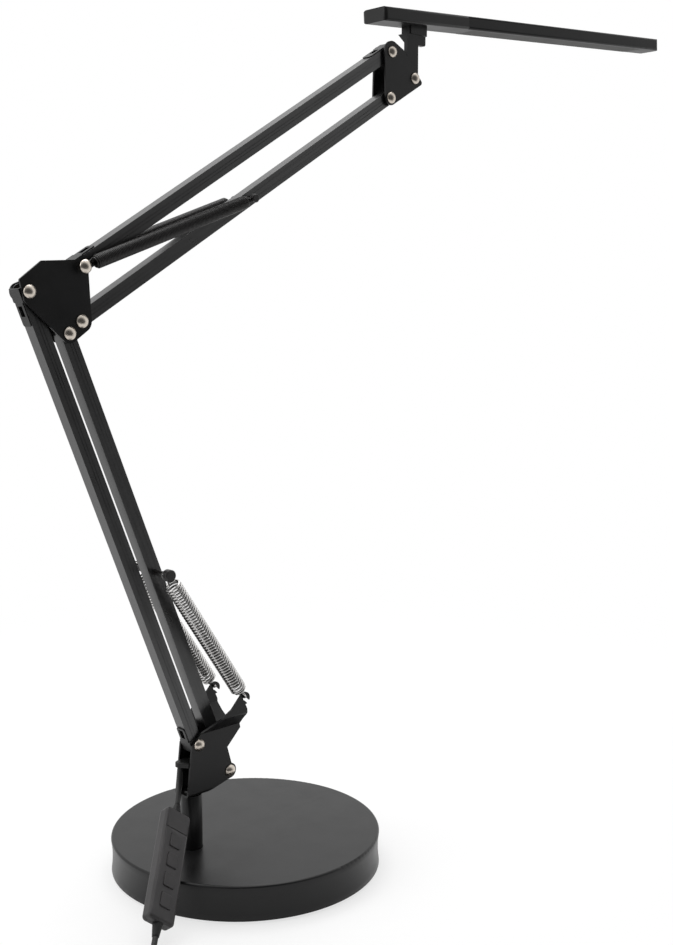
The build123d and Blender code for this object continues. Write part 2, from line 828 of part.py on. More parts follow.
with BuildPart() as swivel_pin:
    with BuildSketch(Plane.XY.offset(swivel_pin_low)):
        with Locations(swivel_axis):
            Circle(swivel_pin_diameter / 2)
    extrude(amount=under_head(swivel_axis[0]) - loose - swivel_pin_low)
save(swivel_pin.part, "swivel_pin")

with BuildPart() as head_screws:
    for place in head_screw_places:
        with BuildSketch(Plane.XY.offset(plate_bottom + 0.1)):
            with Locations(place):
                Circle(head_screw_size)
        extrude(amount=head_screw_size / 2, taper=45)
        with BuildSketch(Plane.XY.offset(plate_bottom + 0.1)):
            with Locations(place):
                Circle(head_screw_size / 2)
        extrude(amount=head_screw_length)
save(head_screws.part, "head_screws")


# ---------------------------------------------------------------- lamp head
def head_section(start):
    """Plane across the head: local x is +Y, local y is up from its underside."""
    origin = head_plane.origin + head_plane.x_dir * start
    return Plane(origin=origin, x_dir=(0, 1, 0), z_dir=head_run)


def head_profile(start):
    """The head's section at a place along it: flat on the near side, round on the far side."""
    with BuildSketch(head_section(start)) as section:
        with Locations((0, head_thickness / 2)):
            Rectangle(head_width, head_thickness)
        fillet(section.vertices().sort_by(Axis.X)[:2], head_side_radius)
        fillet(section.vertices().sort_by(Axis.X)[-2:], head_round_radius)
    return section.sketch


def head_pocket(start, width, low, high):
    """A rectangle across the head, between two heights above its underside."""
    with BuildSketch(head_section(start)) as pocket:
        with Locations((0, (low + high) / 2)):
            Rectangle(width, high - low)
    return pocket.sketch


housing_start = end_block_length + fit
board_low = diffuser_thickness + led_gap
board_top = board_low + led_board_thickness
tongue = (8.0, 14.0, 2.4)  # length, width, thickness of the tongue that joins the two sections
tongue_low = board_top + 0.8

with BuildPart() as head_end_block:
    extrude(head_profile(0), amount=end_block_length)
    with BuildSketch(head_plane.offset(-1)):
        with Locations((end_block_length / 2, 0)):
            RectangleRounded(end_block_length, head_width, head_end_radius)
        with Locations((end_block_length * 0.75, 0)):
            Rectangle(end_block_length / 2, head_width)
    extrude(amount=head_thickness + 2, mode=Mode.INTERSECT)
    tongue_face = head_pocket(end_block_length, tongue[1], tongue_low, tongue_low + tongue[2])
    extrude(tongue_face, amount=tongue[0])
    with BuildSketch(Plane.XY.offset(plate_bottom)):
        with Locations(head_screw_places):
            Circle(head_screw_size / 2 + fit)
    extrude(amount=head_screw_length + 1, mode=Mode.SUBTRACT)
save(head_end_block.part, "head_end_block")

with BuildPart() as head_housing:
    extrude(head_profile(housing_start), amount=head_length - housing_start)
    with BuildSketch(head_plane.offset(-1)):
        with Locations((head_length / 2, 0)):
            RectangleRounded(head_length, head_width, head_tip_radius)
    extrude(amount=head_thickness + 2, mode=Mode.INTERSECT)
    channel = head_pocket(diffuser_start - fit, diffuser_width + 2 * fit, -1, board_top + fit)
    extrude(channel, amount=diffuser_length + 2 * fit, mode=Mode.SUBTRACT)
    socket = head_pocket(
        housing_start - 1, tongue[1] + 2 * fit, tongue_low - fit, tongue_low + tongue[2] + fit
    )
    extrude(socket, amount=tongue[0] + 2, mode=Mode.SUBTRACT)
save(head_housing.part, "head_housing")

with BuildPart() as diffuser:
    with BuildSketch(head_plane):
        with Locations((diffuser_start + diffuser_length / 2, 0)):
            Rectangle(diffuser_length, diffuser_width)
    extrude(amount=diffuser_thickness)
save(diffuser.part, "diffuser")

with BuildPart() as led_board:
    board_middle = (diffuser_start + diffuser_length / 2, 0)
    with BuildSketch(head_plane.offset(board_low)):
        with Locations(board_middle):
            Rectangle(diffuser_length - 2, diffuser_width - 2)
    extrude(amount=led_board_thickness)
    with BuildSketch(head_plane.offset(board_low)):
        with Locations(board_middle):
            with GridLocations((diffuser_length - 10) / (led_count - 1), 1, led_count, 1):
                Rectangle(led_size, led_size)
    extrude(amount=-led_height)
save(led_board.part, "led_board")

# ---------------------------------------------------------------- controller on the cord
controller_plane = Plane(origin=controller_foot, x_dir=controller_run, z_dir=controller_face)
face_axis = Axis(origin=controller_foot, direction=controller_face)
controller_middle = (controller_length / 2, 0)
face_high = controller_thickness / 2
parting = -0.4
button_places = [(button_first + button_pitch * count, 0) for count in range(button_count)]
board_high = 1.0
flange_thickness = 0.8
relief_neck = cord_diameter / 2 + 0.6


def controller_shell(name, upper):
    """One half of the controller's case, hollow, parted across its thickness."""
    with BuildPart() as shell:
        with BuildSketch(controller_plane.offset(-face_high)):
            with Locations(controller_middle):
                RectangleRounded(controller_length, controller_width, controller_edge + 0.6)
        extrude(amount=controller_thickness)
        faces = shell.faces().sort_by(face_axis)
        fillet(faces[0].edges() + faces[-1].edges(), controller_edge)
        with BuildSketch(controller_plane.offset(-face_high + controller_wall)):
            with Locations(controller_middle):
                Rectangle(
                    controller_length - 2 * controller_wall, controller_width - 2 * controller_wall
                )
        extrude(amount=controller_thickness - 2 * controller_wall, mode=Mode.SUBTRACT)
        with BuildSketch(controller_plane.offset(parting)):
            with Locations(controller_middle):
                Rectangle(2 * controller_length, 2 * controller_width)
        away = -controller_thickness if upper else controller_thickness
        extrude(amount=away, mode=Mode.SUBTRACT)
        end_plane = Plane(
            origin=controller_plane.from_local_coords((-1, 0, 0)), z_dir=controller_run
        )
        with BuildSketch(end_plane):
            Circle(relief_neck + fit)
        extrude(amount=controller_length + 2, mode=Mode.SUBTRACT)
        if upper:
            with BuildSketch(controller_plane.offset(face_high - controller_wall - 1)):
                with Locations(button_places):
                    Rectangle(button_size[0] + 2 * fit, button_size[1] + 2 * fit)
            extrude(amount=controller_wall + 2, mode=Mode.SUBTRACT)
            with BuildSketch(controller_plane.offset(face_high - 0.4)):
                with Locations((groove_place, 0)):
                    Rectangle(0.7, 2 * controller_width)
            extrude(amount=1, mode=Mode.SUBTRACT)
    save(shell.part, name)


controller_shell("controller_top_shell", True)
controller_shell("controller_bottom_shell", False)

with BuildPart() as controller_board:
    with BuildSketch(controller_plane.offset(board_high - 1.2)):
        with Locations(controller_middle):
            Rectangle(controller_length - 14, controller_width - 2 * controller_wall - 2 * fit)
    extrude(amount=1.2)
    with BuildSketch(controller_plane.offset(board_high)):
        with Locations(button_places):
            Rectangle(4.5, 4.5)
    extrude(amount=0.9)
save(controller_board.part, "controller_board")

for count, place in enumerate(button_places):
    with BuildPart() as button:
        flange_top = face_high - controller_wall - fit
        with BuildSketch(controller_plane.offset(flange_top - flange_thickness)):
            with Locations(place):
                Rectangle(button_size[0] + 1.6, button_size[1] + 1.6)
        extrude(amount=flange_thickness)
        with BuildSketch(controller_plane.offset(flange_top - flange_thickness)):
            with Locations(place):
                RectangleRounded(*button_size, 1.4)
        extrude(amount=face_high + button_rise - flange_top + flange_thickness)
        fillet(button.faces().sort_by(face_axis)[-1].edges(), 0.5)
    save(button.part, f"controller_button_{count + 1}")


def strain_relief(name, place, way, length):
    """A tapered sleeve from inside the controller's end wall out to where the cord starts."""
    start = Vector(*place)
    way = Vector(*way)
    with BuildPart() as relief:
        with BuildSketch(Plane(origin=start - way * (controller_wall + 1.2), z_dir=way)):
            Circle(relief_neck + 0.8)
        extrude(amount=1.1)
        with BuildSketch(Plane(origin=start - way * (controller_wall + 0.2), z_dir=way)):
            Circle(relief_neck)
        extrude(amount=controller_wall + 0.3)
        with BuildSketch(Plane(origin=start + way * 0.1, z_dir=way)):
            Circle(relief_diameter / 2)
        with BuildSketch(Plane(origin=start + way * length, z_dir=way)):
            Circle(cord_diameter / 2 + 0.4)
        loft()
    save(relief.part, name)
    return start + way * length


run = Vector(*controller_run)
upper_end = Vector(*controller_foot) + run * controller_length
lead_start = strain_relief("controller_relief_lower", controller_foot, run * -1, relief_length)
link_start = strain_relief("controller_relief_upper", upper_end, run, upper_relief_length)


# ---------------------------------------------------------------- cords
def cord(name, points):
    """A round cord along straight runs joined by tangent arcs; prints its radii."""
    places = [Vector(*point) for point in points]
    radii = []
    for before, corner, after in zip(places, places[1:], places[2:]):
        turn = (corner - before).get_angle(after - corner)
        shorter = min((corner - before).length, (after - corner).length)
        radii.append(0.45 * shorter / tan(radians(turn / 2)))
    with BuildPart() as part:
        with BuildLine() as route:
            FilletPolyline(*places, radius=radii)
        with BuildSketch(Plane(origin=places[0], z_dir=places[1] - places[0])):
            Circle(cord_diameter / 2)
        sweep(path=route.wires()[0])
    save(part.part, name)
    print(f"{name}: bend radii", ", ".join(f"{radius:.1f}" for radius in radii), "mm")


cord_radius = cord_diameter / 2
link_corner = link_start + run * link_runs[0]
link_top = link_corner + Vector(0, 0, link_runs[1])
cord("cord_link", [tuple(link_start), tuple(link_corner), tuple(link_top)])

with BuildPart() as cord_grommet:
    with BuildSketch(Plane.XY.offset(link_top.Z)):
        with Locations((link_top.X, link_top.Y)):
            Circle(cord_radius + 1.4)
        with Locations((pin_e[0] - 5.2, 0)):
            Rectangle(7, bracket_gap - fit)
        make_hull()
    extrude(amount=3.5)
    fillet(cord_grommet.edges().group_by(Axis.Z)[-1].filter_by(GeomType.CIRCLE), 0.8)
save(cord_grommet.part, "cord_grommet")

# the lead comes down to the floor along the controller's own direction, then bends to the coil
flat_run = Vector(run.X, run.Y, 0).normalized() * -1
lead_corner = lead_start - run * ((lead_start.Z - cord_radius) / run.Z)
lead_bend_place = lead_corner + flat_run * lead_flat_runs[0]
coil_run = flat_run.rotate(Axis.Z, lead_bend)
coil_start = lead_bend_place + coil_run * lead_flat_runs[1]
cord(
    "cord_lead",
    [tuple(lead_start), tuple(lead_corner), tuple(lead_bend_place), tuple(coil_start)],
)

half_turns_in_layer = (4, 4, 4, 3)  # between the half turns in which the tube climbs a layer
coil_spread = coil_pitch * half_turns_in_layer[0] / 2
coil_outer_radius = coil_middle_radius + coil_spread / 2
coil_sideways = Vector(-coil_run.Y, coil_run.X, 0)
coil_middle = coil_start + coil_run * cord_diameter + coil_sideways * coil_outer_radius
coil_first_angle = atan2(-coil_sideways.Y, -coil_sideways.X)


def coil_station(angle, radius, height, drift):
    """A place on the coil and its direction there, drifting outwards or inwards."""
    out = Vector(cos(angle), sin(angle), 0)
    round_way = Vector(-sin(angle), cos(angle), 0)
    place = coil_middle + out * radius + Vector(0, 0, height)
    return place, (round_way * (2 * pi * radius) + out * drift).normalized()


def coil_stations():
    """Stations of the piled coil: in and out at a steady rate, climbing a layer at each reversal."""
    stations = []
    radius = coil_outer_radius
    angle = coil_first_angle
    for layer, half_turns in enumerate(half_turns_in_layer):
        rate = -coil_pitch if layer % 2 == 0 else coil_pitch
        for half in range(half_turns + 1):
            drift = 0 if not stations else rate
            stations.append(coil_station(angle, radius, layer * coil_rise, drift))
            angle += pi
            if half < half_turns:
                radius += rate / 2
    last_quarter = coil_station(angle - pi / 2, radius + rate / 4, layer * coil_rise, rate)
    return stations + [last_quarter]


coil = coil_stations()
leaving, leaving_way = coil[-1]
leaving_way = Vector(leaving_way.X, leaving_way.Y, 0).normalized()
level_end = leaving + leaving_way * plug_level_run
plug_cord_end = level_end + leaving_way * plug_drop_run
plug_cord_end = Vector(plug_cord_end.X, plug_cord_end.Y, plug_thickness / 2 + 0.05)
coil[-1] = (leaving, leaving_way)
coil += [(level_end, leaving_way), (plug_cord_end, leaving_way)]
coil_part, coil_edges = tube(coil, 6, cord_diameter, cord_diameter)
save(coil_part, "cord_coil")
print(f"cord_coil: least gap to itself {least_gap(coil_edges, cord_diameter):.2f} mm")

# ---------------------------------------------------------------- plug
plug_start = plug_cord_end + leaving_way * cord_diameter
plug_plane = Plane(origin=plug_start, x_dir=leaving_way, z_dir=(0, 0, 1))
plug_back = plug_start + leaving_way * plug_relief_length
plug_end = plug_relief_length + plug_length

with BuildPart() as plug_body:
    with BuildSketch(Plane(origin=plug_start, z_dir=leaving_way)):
        Circle(cord_radius + 0.3)
    with BuildSketch(Plane(origin=plug_back, z_dir=leaving_way)):
        Circle(cord_radius + 1.4)
    loft()
    with BuildSketch(plug_plane.offset(-plug_thickness / 2)):
        with Locations((plug_relief_length + plug_length / 2, 0)):
            RectangleRounded(plug_length, plug_width, 3)
    extrude(amount=plug_thickness)
    flat_faces = plug_body.faces().sort_by(Axis.Z)
    fillet(flat_faces[0].edges() + flat_faces[-1].edges(), 1.6)
    with BuildSketch(plug_plane.offset(0.2)):
        with Locations((plug_end + plug_shell_length / 2 - 2, 0)):
            Rectangle(plug_shell_length - 1, plug_shell_width - 1.6)
    extrude(amount=1.6)
save(plug_body.part, "plug_body")

with BuildPart() as plug_shell:
    shell_start = plug_start + leaving_way * (plug_end + 0.05)
    shell_plane = Plane(origin=shell_start, x_dir=(-leaving_way.Y, leaving_way.X, 0), z_dir=leaving_way)
    with BuildSketch(shell_plane):
        RectangleRounded(plug_shell_width, plug_shell_thickness, 0.5)
        Rectangle(plug_shell_width - 0.8, plug_shell_thickness - 0.8, mode=Mode.SUBTRACT)
    extrude(amount=plug_shell_length)
save(plug_shell.part, "plug_shell")
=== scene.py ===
"""Looks of the swing-arm desk lamp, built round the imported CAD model."""
import json
import math

import bpy
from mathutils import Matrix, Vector


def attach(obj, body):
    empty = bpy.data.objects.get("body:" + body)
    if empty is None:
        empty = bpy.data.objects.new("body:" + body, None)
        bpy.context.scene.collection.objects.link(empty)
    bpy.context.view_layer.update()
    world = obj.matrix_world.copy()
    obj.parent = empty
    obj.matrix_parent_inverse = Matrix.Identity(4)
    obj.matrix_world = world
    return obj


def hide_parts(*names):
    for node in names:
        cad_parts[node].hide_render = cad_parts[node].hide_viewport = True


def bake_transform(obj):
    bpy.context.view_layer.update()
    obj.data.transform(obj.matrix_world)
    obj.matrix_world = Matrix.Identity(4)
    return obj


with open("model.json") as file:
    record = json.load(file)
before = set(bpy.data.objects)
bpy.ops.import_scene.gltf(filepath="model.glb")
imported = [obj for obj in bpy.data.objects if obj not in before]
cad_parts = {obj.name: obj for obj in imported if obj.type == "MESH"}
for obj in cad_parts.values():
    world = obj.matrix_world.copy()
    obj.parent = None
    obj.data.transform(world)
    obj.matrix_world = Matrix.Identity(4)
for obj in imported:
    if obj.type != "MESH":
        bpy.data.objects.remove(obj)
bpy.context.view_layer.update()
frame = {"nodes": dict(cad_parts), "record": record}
NODES = frame["nodes"]
SLOTS = {part["node"]: part["material_slot"] for part in frame["record"]["subparts"]}
MM = 0.001


def metres(*place):
    """A place given in millimetres."""
    return Vector(place) * MM


def shown(name, data):
    """A new object in the scene."""
    obj = bpy.data.objects.new(name, data)
    bpy.context.scene.collection.objects.link(obj)
    return obj


# ---------------------------------------------------------------- camera
def make_camera():
    """The photograph's camera, fitted to the lamp's pins, bars and base."""
    data = bpy.data.cameras.new("camera")
    camera = shown("camera", data)
    camera.location = (-0.5754, -0.7057, 0.4149)
    camera.rotation_euler = (math.radians(82.506), 0, math.radians(-43.477))
    data.lens = 48.16
    data.sensor_width = 36
    data.clip_start = 0.01
    bpy.context.scene.camera = camera


make_camera()


# ---------------------------------------------------------------- shader helpers
class Tree:
    """Short ways to add and join shader nodes."""

    def __init__(self, owner):
        owner.use_nodes = True
        self.tree = owner.node_tree
        self.tree.nodes.clear()

    def add(self, kind, **settings):
        """A new node with these settings."""
        node = self.tree.nodes.new(kind)
        for key, value in settings.items():
            setattr(node, key, value)
        return node

    def join(self, output, target):
        self.tree.links.new(output, target)

    def put(self, target, value):
        """Link an output to an input, or set the input to a plain value."""
        if hasattr(value, "is_output"):
            self.tree.links.new(value, target)
        elif isinstance(value, tuple) and len(value) == 3 and len(target.default_value) == 4:
            target.default_value = (*value, 1)
        else:
            target.default_value = value

    def maths(self, operation, first, second=0.0, clamp=False):
        node = self.add("ShaderNodeMath", operation=operation, use_clamp=clamp)
        self.put(node.inputs[0], first)
        self.put(node.inputs[1], second)
        return node.outputs[0]

    def spread(self, value, low, high, new_low, new_high, smooth=False):
        """A value carried from one range to another, and held at its ends."""
        kind = "SMOOTHSTEP" if smooth else "LINEAR"
        node = self.add("ShaderNodeMapRange", interpolation_type=kind)
        for index, item in enumerate((value, low, high, new_low, new_high)):
            self.put(node.inputs[index], item)
        return node.outputs[0]

    def mixed(self, share, first, second):
        """The first colour going over to the second one as the share rises."""
        node = self.add("ShaderNodeMix", data_type="RGBA")
        self.put(node.inputs[0], share)
        self.put(node.inputs[6], first)
        self.put(node.inputs[7], second)
        return node.outputs[2]

    def noise(self, place, scale, detail=3.0, stretch=None):
        """Noise at a place, drawn out along an axis where it is stretched."""
        if stretch:
            mapping = self.add("ShaderNodeMapping")
            self.join(place, mapping.inputs["Vector"])
            mapping.inputs["Scale"].default_value = stretch
            place = mapping.outputs[0]
        node = self.add("ShaderNodeTexNoise")
        self.join(place, node.inputs["Vector"])
        node.inputs["Scale"].default_value = scale
        node.inputs["Detail"].default_value = detail
        node.inputs["Roughness"].default_value = 0.55
        return node.outputs["Fac"]


# ---------------------------------------------------------------- floor, world and lights
FLOOR_REACH = 1.5
FLOOR_REACH_IN_FRONT = 0.6  # shallower, so the lamp's dark front mirrors less of it
FLOOR_CORNERS = 96
FLOOR_FADE = (0.30, 0.85)  # where its shadow starts to fade, and where it is gone
FLOOR_GLOW = 0.66  # how white the floor is by itself beside the lamp
WORLD_STRENGTH = 0.85
FRONT_WAY = (-0.36, -0.92, -0.12)  # towards the dim side of the room, before the lamp
FRONT_TURN = (0.15, 0.75)  # where the room starts to dim towards it, and where it is dimmest
FRONT_STRENGTH = 0.08


def make_floor():
    """A pale round floor that fades into a white surround and is shallower in front."""
    mesh = bpy.data.meshes.new("floor")
    ring = []
    for index in range(FLOOR_CORNERS):
        angle = index * math.tau / FLOOR_CORNERS
        reach = FLOOR_REACH if math.sin(angle) > 0 else FLOOR_REACH_IN_FRONT
        ring.append((FLOOR_REACH * math.cos(angle), reach * math.sin(angle), 0))
    mesh.from_pydata(ring, [], [tuple(range(FLOOR_CORNERS))])
    floor = shown("floor", mesh)
    material = bpy.data.materials.new("floor")
    t = Tree(material)
    out = t.add("ShaderNodeOutputMaterial")
    place = t.add("ShaderNodeTexCoord").outputs["Object"]
    split = t.add("ShaderNodeSeparateXYZ")
    t.join(place, split.inputs[0])
    forward = t.maths("MINIMUM", split.outputs[1], 0.0)
    forward = t.maths("MULTIPLY", forward, FLOOR_REACH / FLOOR_REACH_IN_FRONT)
    backward = t.maths("MAXIMUM", split.outputs[1], 0.0)
    flat = t.add("ShaderNodeCombineXYZ")
    t.join(split.outputs[0], flat.inputs[0])
    t.join(t.maths("ADD", forward, backward), flat.inputs[1])
    away = t.add("ShaderNodeVectorMath", operation="LENGTH")
    t.join(flat.outputs[0], away.inputs[0])
    diffuse = t.add("ShaderNodeBsdfDiffuse")
    tone = t.noise(place, 6.0)
    t.put(diffuse.inputs["Color"], t.mixed(tone, (0.90, 0.90, 0.90), (0.93, 0.93, 0.93)))
    glow = t.add("ShaderNodeEmission")
    path = t.add("ShaderNodeLightPath")
    seen = t.maths("MAXIMUM", path.outputs["Is Camera Ray"], path.outputs["Is Glossy Ray"])
    seen = t.maths("MAXIMUM", seen, path.outputs["Is Transmission Ray"])
    fade = t.spread(away.outputs["Value"], *FLOOR_FADE, FLOOR_GLOW, 1.0, smooth=True)
    mix = t.add("ShaderNodeMixShader")
    t.join(t.maths("MULTIPLY", seen, fade), mix.inputs[0])
    t.join(diffuse.outputs[0], mix.inputs[1])
    t.join(glow.outputs[0], mix.inputs[2])
    t.join(mix.outputs[0], out.inputs[0])
    mesh.materials.append(material)


def make_world():
    """A white surround for the camera; as light and in reflections it dims before the lamp."""
    world = bpy.data.worlds.new("world")
    bpy.context.scene.world = world
    t = Tree(world)
    out = t.add("ShaderNodeOutputWorld")
    path = t.add("ShaderNodeLightPath")
    way = t.add("ShaderNodeTexCoord").outputs["Generated"]
    facing = t.add("ShaderNodeVectorMath", operation="DOT_PRODUCT")
    t.join(way, facing.inputs[0])
    facing.inputs[1].default_value = FRONT_WAY
    room = t.spread(facing.outputs["Value"], *FRONT_TURN, 1.0, FRONT_STRENGTH, smooth=True)

    def white(strength):
        background = t.add("ShaderNodeBackground")
        background.inputs["Color"].default_value = (1, 1, 1, 1)
        t.put(background.inputs["Strength"], strength)
        return background.outputs[0]

    light = white(t.maths("MULTIPLY", room, WORLD_STRENGTH))
    mirrored = white(room)
    seen = white(1.0)
    first = t.add("ShaderNodeMixShader")
    glossy = t.maths("MAXIMUM", path.outputs["Is Glossy Ray"], path.outputs["Is Transmission Ray"])
    t.join(glossy, first.inputs[0])
    t.join(light, first.inputs[1])
    t.join(mirrored, first.inputs[2])
    second = t.add("ShaderNodeMixShader")
    t.join(path.outputs["Is Camera Ray"], second.inputs[0])
    t.join(first.outputs[0], second.inputs[1])
    t.join(seen, second.inputs[2])
    t.join(second.outputs[0], out.inputs[0])


def area_light(name, place, aim, size, power):
    """A rectangular light at a place, turned to where it aims."""
    data = bpy.data.lights.new(name, "AREA")
    data.shape = "RECTANGLE"
    data.size, data.size_y = size
    data.energy = power
    light = shown(name, data)
    light.location = place
    light.rotation_euler = (Vector(aim) - Vector(place)).to_track_quat("-Z", "Y").to_euler()


make_floor()
make_world()
area_light("top", place=(0.3, 0.5, 2.2), aim=(0.1, 0, 0.3), size=(1.8, 1.4), power=26)
area_light("side", place=(-2.0, 0.7, 1.2), aim=(0, 0, 0.3), size=(0.9, 1.4), power=9)
bpy.context.scene.view_settings.view_transform = "Standard"


# ---------------------------------------------------------------- materials
PATCHES = 45.0  # the scale of the noise that makes colour and gloss uneven
EDGE_WEAR_AND_HIGHLIGHT_PATCHES = 260.0  # the scale of the noise that breaks up the lighter edges, which are partly wear and partly a painted highlight
# how wide the lighter edges are, which are partly wear and partly a painted highlight
EDGE_WEAR_AND_HIGHLIGHT_WIDTH = 0.5 * MM
# the colour of painted shade where surfaces lie close, as between a spring's turns
PAINTED_SHADE_COLOUR = (0.02, 0.02, 0.022)


def finish_of(
    name,
    colour,
    roughness,
    metallic=0.0,
    specular=0.5,
    grain=2200.0,
    bump=0.12,
    bump_depth=0.00012,
    tone=0.25,
    gloss_spread=0.08,
    edge_wear_and_highlight=None,
    coat=0.0,
    stretch=None,
    see_through=0.0,
    painted_shade_reach=0.0,
):
    """A procedural finish: fine grain, uneven colour and gloss, edges lightened by wear and a
    painted highlight, and painted shade where surfaces lie close.

    Grain is the scale of its fine noise, tone how far its colour varies, edge_wear_and_highlight
    the colour of edges lightened by wear and a painted highlight, and painted_shade_reach how near
    a surface must be for painted shade to darken it.
    """
    material = bpy.data.materials.new(name)
    t = Tree(material)
    out = t.add("ShaderNodeOutputMaterial")
    shader = t.add("ShaderNodeBsdfPrincipled")
    t.join(shader.outputs[0], out.inputs[0])
    place = t.add("ShaderNodeTexCoord").outputs["Object"]
    patches = t.noise(place, PATCHES, detail=4.0)
    fine = t.noise(place, grain, detail=2.0, stretch=stretch)
    darker = tuple(c * (1 - tone) for c in colour)
    lighter = tuple(min(1.0, c * (1 + tone)) for c in colour)
    base = t.mixed(t.spread(patches, 0.3, 0.7, 0.0, 1.0), darker, lighter)
    base = t.mixed(t.spread(fine, 0.35, 0.65, 0.0, 0.3), base, lighter)
    half = gloss_spread / 2
    rough = t.spread(patches, 0.3, 0.7, roughness - half, roughness + half)
    # edges lightened through a Bevel-node mask: partly wear, partly a painted highlight along the
    # edges, broken up by noise
    if edge_wear_and_highlight:
        rounded = t.add("ShaderNodeBevel", samples=4)
        rounded.inputs["Radius"].default_value = EDGE_WEAR_AND_HIGHLIGHT_WIDTH
        geometry = t.add("ShaderNodeNewGeometry")
        alike = t.add("ShaderNodeVectorMath", operation="DOT_PRODUCT")
        t.join(rounded.outputs["Normal"], alike.inputs[0])
        t.join(geometry.outputs["Normal"], alike.inputs[1])
        edge = t.spread(alike.outputs["Value"], 0.985, 0.80, 0.0, 1.0)
        broken = t.spread(t.noise(place, EDGE_WEAR_AND_HIGHLIGHT_PATCHES, detail=4.0), 0.42, 0.62, 0.1, 1.0)
        worn_and_lit_edge = t.maths("MULTIPLY", edge, broken, clamp=True)
        base = t.mixed(worn_and_lit_edge, base, edge_wear_and_highlight)
    # painted shade: the base colour goes dark where the ambient-occlusion node finds surfaces
    # close by, as between a spring's turns
    if painted_shade_reach:
        hidden = t.add("ShaderNodeAmbientOcclusion", samples=8)
        hidden.inputs["Distance"].default_value = painted_shade_reach
        open_share = t.spread(hidden.outputs["AO"], 0.50, 0.92, 0.0, 1.0)
        base = t.mixed(open_share, PAINTED_SHADE_COLOUR, base)
    t.put(shader.inputs["Base Color"], base)
    t.put(shader.inputs["Roughness"], rough)
    shader.inputs["Metallic"].default_value = metallic
    shader.inputs["Specular IOR Level"].default_value = specular
    shader.inputs["Coat Weight"].default_value = coat
    shader.inputs["Coat Roughness"].default_value = 0.2
    if see_through:
        shader.inputs["Subsurface Weight"].default_value = see_through
        shader.inputs["Subsurface Radius"].default_value = (0.004, 0.004, 0.004)
    raised = t.add("ShaderNodeBump")
    raised.inputs["Strength"].default_value = bump
    raised.inputs["Distance"].default_value = bump_depth
    t.join(fine, raised.inputs["Height"])
    t.join(raised.outputs[0], shader.inputs["Normal"])
    return material


def grey(level):
    """A grey as a colour."""
    return (level,) * 3


LOOKS = {
    "black_paint": dict(
        colour=(0.0080, 0.0080, 0.0083), roughness=0.34, specular=0.27, bump=0.16,
        edge_wear_and_highlight=grey(0.03),
    ),
    "cast_iron": dict(
        colour=(0.03, 0.028, 0.027), roughness=0.75, metallic=0.6, grain=900.0, bump=0.5,
        bump_depth=0.0004,
    ),
    "zinc_steel": dict(
        colour=(0.52, 0.53, 0.54), roughness=0.32, metallic=1.0, bump=0.08, tone=0.12,
        edge_wear_and_highlight=grey(0.7),
    ),
    "foam_pad": dict(
        colour=(0.40, 0.39, 0.38), roughness=0.9, specular=0.2, grain=1500.0, bump=0.6,
        bump_depth=0.0003,
    ),
    "nylon": dict(
        colour=grey(0.05), roughness=0.45, grain=1800.0, bump=0.1, see_through=0.1,
    ),
    # this finish paints shade between the spring's turns
    "spring_steel": dict(
        colour=(0.56, 0.55, 0.54), roughness=0.20, metallic=1.0, grain=1200.0, bump=0.06,
        tone=0.15, painted_shade_reach=0.005,
    ),
    "polished_steel": dict(
        colour=(0.60, 0.545, 0.48), roughness=0.30, metallic=1.0, grain=1500.0, bump=0.04,
        tone=0.08, gloss_spread=0.06, edge_wear_and_highlight=(0.8, 0.76, 0.70),
    ),
    "black_plastic": dict(
        colour=grey(0.010), roughness=0.42, specular=0.3, bump=0.2, edge_wear_and_highlight=grey(0.03),
    ),
    "black_bar": dict(
        colour=(0.010, 0.010, 0.0105), roughness=0.30, specular=0.85, grain=1400.0, bump=0.10,
        stretch=(1.0, 1.0, 0.15), edge_wear_and_highlight=grey(0.06),
    ),
    "black_clip": dict(
        colour=grey(0.012), roughness=0.40, specular=0.3, bump=0.14, edge_wear_and_highlight=grey(0.05),
    ),
    "black_steel": dict(
        colour=(0.014, 0.013, 0.013), roughness=0.38, specular=0.4, bump=0.1,
        edge_wear_and_highlight=(0.08, 0.075, 0.07),
    ),
    "black_aluminium": dict(
        colour=(0.008, 0.008, 0.0082), roughness=0.42, specular=0.2, grain=1900.0, bump=0.12,
        stretch=(0.1, 1.0, 1.0), edge_wear_and_highlight=grey(0.05),
    ),
    "circuit_board": dict(
        colour=(0.02, 0.09, 0.03), roughness=0.4, grain=700.0, bump=0.2, tone=0.4, coat=0.3,
    ),
    "diffuser_plastic": dict(
        colour=(0.060, 0.060, 0.058), roughness=0.6, specular=0.12, grain=2600.0, bump=0.1,
        tone=0.06,
    ),
    "button_rubber": dict(
        colour=(0.042, 0.040, 0.041), roughness=0.55, specular=0.3, bump=0.25, edge_wear_and_highlight=grey(0.09),
    ),
    "controller_plastic": dict(
        colour=(0.042, 0.040, 0.041), roughness=0.48, specular=0.3, bump=0.25, edge_wear_and_highlight=grey(0.08),
    ),
    "black_rubber": dict(
        colour=grey(0.010), roughness=0.55, specular=0.3, bump=0.25, edge_wear_and_highlight=grey(0.03),
    ),
    "cord_black": dict(
        colour=grey(0.014), roughness=0.45, specular=0.35, grain=1300.0, bump=0.15,
    ),
}
FINISHES = {slot: finish_of(slot, **look) for slot, look in LOOKS.items()}
WELD_REACH = 0.004 * MM
EDGE = 0.18 * MM  # how wide sharp edges are softened
HEAD_EDGE = 0.28 * MM


def dress_node(node, obj):
    """Give a CAD node its slot's finish, with its sharp edges softened."""
    obj.data.materials.clear()
    obj.data.materials.append(FINISHES[SLOTS[node]])
    joined = obj.modifiers.new("weld", "WELD")
    joined.merge_threshold = WELD_REACH
    soft = obj.modifiers.new("soft_edges", "BEVEL")
    soft.width = HEAD_EDGE if SLOTS[node] == "black_aluminium" else EDGE
    soft.segments = 2
    soft.limit_method = "ANGLE"
    soft.angle_limit = math.radians(38)
    soft.harden_normals = True


